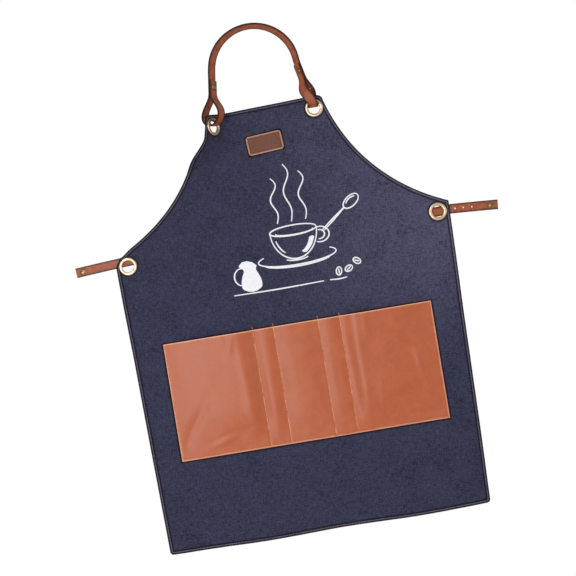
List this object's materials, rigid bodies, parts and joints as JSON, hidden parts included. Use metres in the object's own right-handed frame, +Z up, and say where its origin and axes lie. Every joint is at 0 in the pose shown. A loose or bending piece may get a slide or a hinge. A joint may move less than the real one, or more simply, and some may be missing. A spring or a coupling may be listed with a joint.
{
  "type": "bib apron",
  "caption": "Denim bib apron with a stitched leather pocket panel, leather label, brass grommets, a looped leather neck strap and a leather waist strap with studded ends.",
  "frame": {"origin": "under the crown of the neck strap, where a hook or hanger holds the apron", "axes": "+X to the right seen from the front, -Y the way the front of the apron faces, +Z up"},
  "size_m": [0.8394, 0.0657, 1.0043],
  "materials": {
    "denim": "dark indigo denim twill, matt",
    "pocket_leather": "smooth tan leather, soft sheen",
    "label_leather": "brown leather with a burnished border",
    "strap_leather": "oiled brown strap leather with darker cut edges",
    "brass": "pale polished brass",
    "aged_brass": "antique brass",
    "tan_thread": "waxed tan thread",
    "hem_thread": "brown grey thread"
  },
  "bodies": {
    "neck_loop": {"neck_strap": "strap_leather", "neck_left_stud": "aged_brass", "neck_left_screw": "aged_brass", "neck_right_stud": "aged_brass", "neck_right_screw": "aged_brass"},
    "apron_panel": {"denim_panel": "denim", "hem_thread": "hem_thread", "leather_pocket": "pocket_leather", "pocket_seam_thread_1": "tan_thread", "pocket_seam_thread_2": "tan_thread", "pocket_seam_thread_3": "tan_thread", "pocket_seam_thread_4": "tan_thread", "leather_label": "label_leather", "label_thread": "tan_thread", "grommet_bib_left": "brass", "washer_bib_left": "brass", "grommet_bib_right": "brass", "washer_bib_right": "brass", "grommet_waist_left": "brass", "washer_waist_left": "brass", "grommet_waist_right": "brass", "washer_waist_right": "brass", "waist_strap_middle": "strap_leather"},
    "waist_left_end": {"waist_strap_left_end": "strap_leather", "waist_left_stud": "aged_brass", "waist_left_screw": "aged_brass"},
    "waist_right_end": {"waist_strap_right_end": "strap_leather", "waist_right_stud": "aged_brass", "waist_right_screw": "aged_brass"}
  },
  "joints": [
    {"name": "bib_swing", "type": "hinge", "parent": "neck_loop", "child": "apron_panel", "pos_m": [0.0019, -0.0032, -0.1777], "axis": [0.9932, 0.1113, 0.0352], "range_deg": [-12, 20]},
    {"name": "waist_left_fold", "type": "hinge", "parent": "apron_panel", "child": "waist_left_end", "pos_m": [-0.334, 0.0045, -0.4162], "axis": [0, 0, -1], "range_deg": [0, 80]},
    {"name": "waist_right_fold", "type": "hinge", "parent": "apron_panel", "child": "waist_right_end", "pos_m": [0.334, 0.0045, -0.4162], "axis": [0, 0, 1], "range_deg": [0, 80]}
  ]
}
